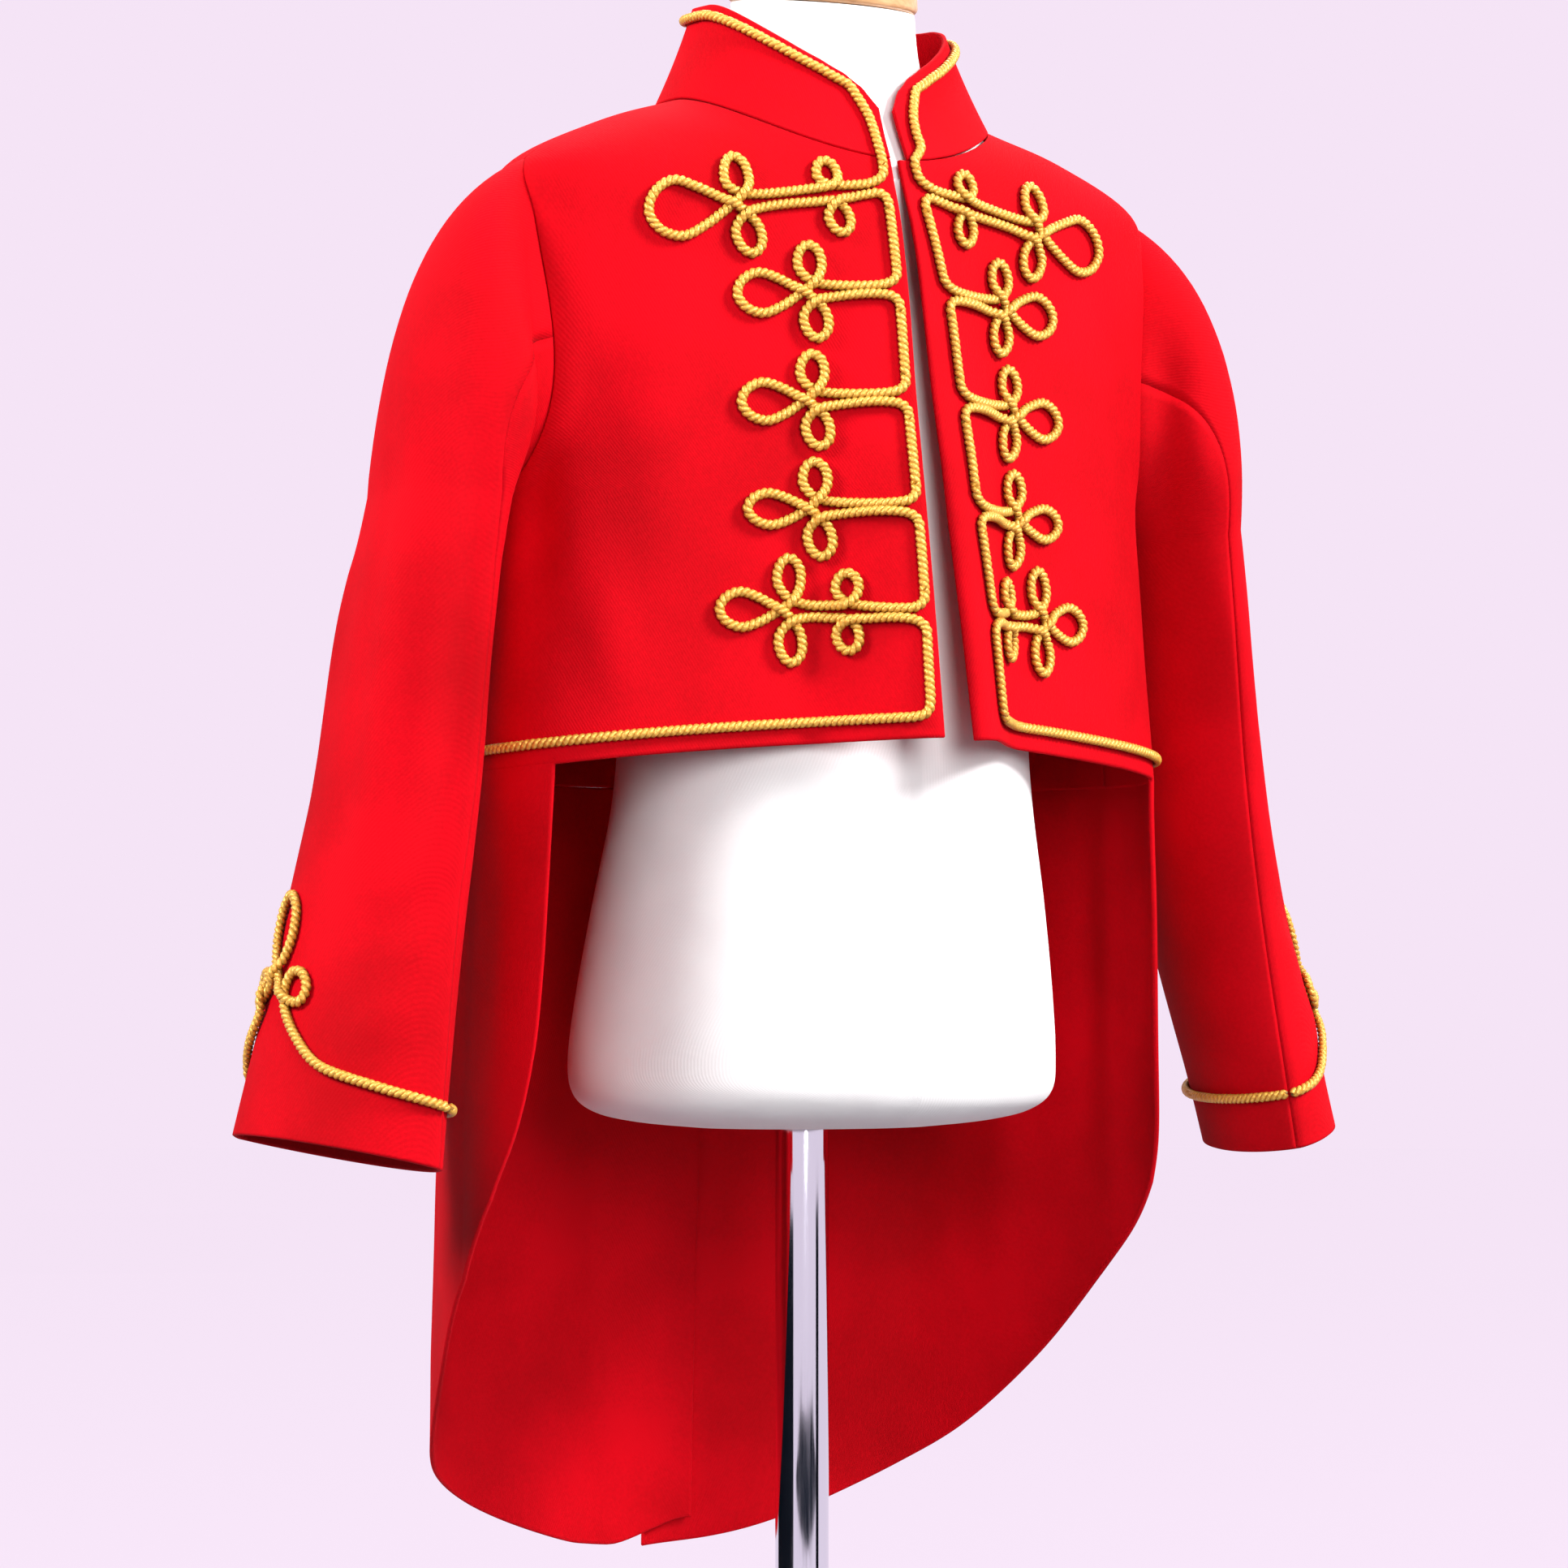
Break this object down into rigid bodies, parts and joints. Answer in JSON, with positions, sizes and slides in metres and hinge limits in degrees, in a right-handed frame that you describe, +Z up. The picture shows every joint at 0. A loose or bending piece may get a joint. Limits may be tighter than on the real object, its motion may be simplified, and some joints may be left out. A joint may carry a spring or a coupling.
{
  "type": "hussar jacket on dress form",
  "caption": "Child's hussar tailcoat with stand collar, gold cord frogging, cuff knots and cutaway tails, worn open on a limbless dress form on a pole and round base.",
  "frame": {"origin": "centre of the round base's underside, on the floor under the pole", "axes": "+Z up along the pole, -Y towards the garment's front opening, +X towards the wearer's left"},
  "size_m": [0.508, 0.28, 0.8112],
  "materials": {
    "red_cloth": "matt wool cloth with a faint nap",
    "gold_cord": "twisted gold cord with a soft metallic glint",
    "form_cover": "smooth white stretch cover",
    "chrome": "polished",
    "cap_wood": "satin varnish"
  },
  "bodies": {
    "root": {"front_left": "red_cloth", "front_right": "red_cloth", "back_left": "red_cloth", "back_right": "red_cloth", "sleeve_upper_left": "red_cloth", "sleeve_upper_right": "red_cloth", "sleeve_under_left": "red_cloth", "sleeve_under_right": "red_cloth", "tail_left": "red_cloth", "tail_right": "red_cloth", "collar": "red_cloth", "collar_cord": "gold_cord", "frog_left_1": "gold_cord", "frog_left_2": "gold_cord", "frog_left_3": "gold_cord", "frog_left_4": "gold_cord", "frog_left_5": "gold_cord", "frog_right_1": "gold_cord", "frog_right_2": "gold_cord", "frog_right_3": "gold_cord", "frog_right_4": "gold_cord", "frog_right_5": "gold_cord", "edge_cord_left_1": "gold_cord", "edge_cord_left_2": "gold_cord", "edge_cord_left_3": "gold_cord", "edge_cord_left_4": "gold_cord", "edge_cord_right_1": "gold_cord", "edge_cord_right_2": "gold_cord", "edge_cord_right_3": "gold_cord", "edge_cord_right_4": "gold_cord", "hem_cord_left": "gold_cord", "hem_cord_right": "gold_cord", "cuff_cord_left": "gold_cord", "cuff_cord_right": "gold_cord", "cuff_cord_under_left": "gold_cord", "cuff_cord_under_right": "gold_cord", "dress_form": "form_cover", "neck_cap": "cap_wood", "pole": "chrome", "base": "chrome"}
  },
  "joints": []
}
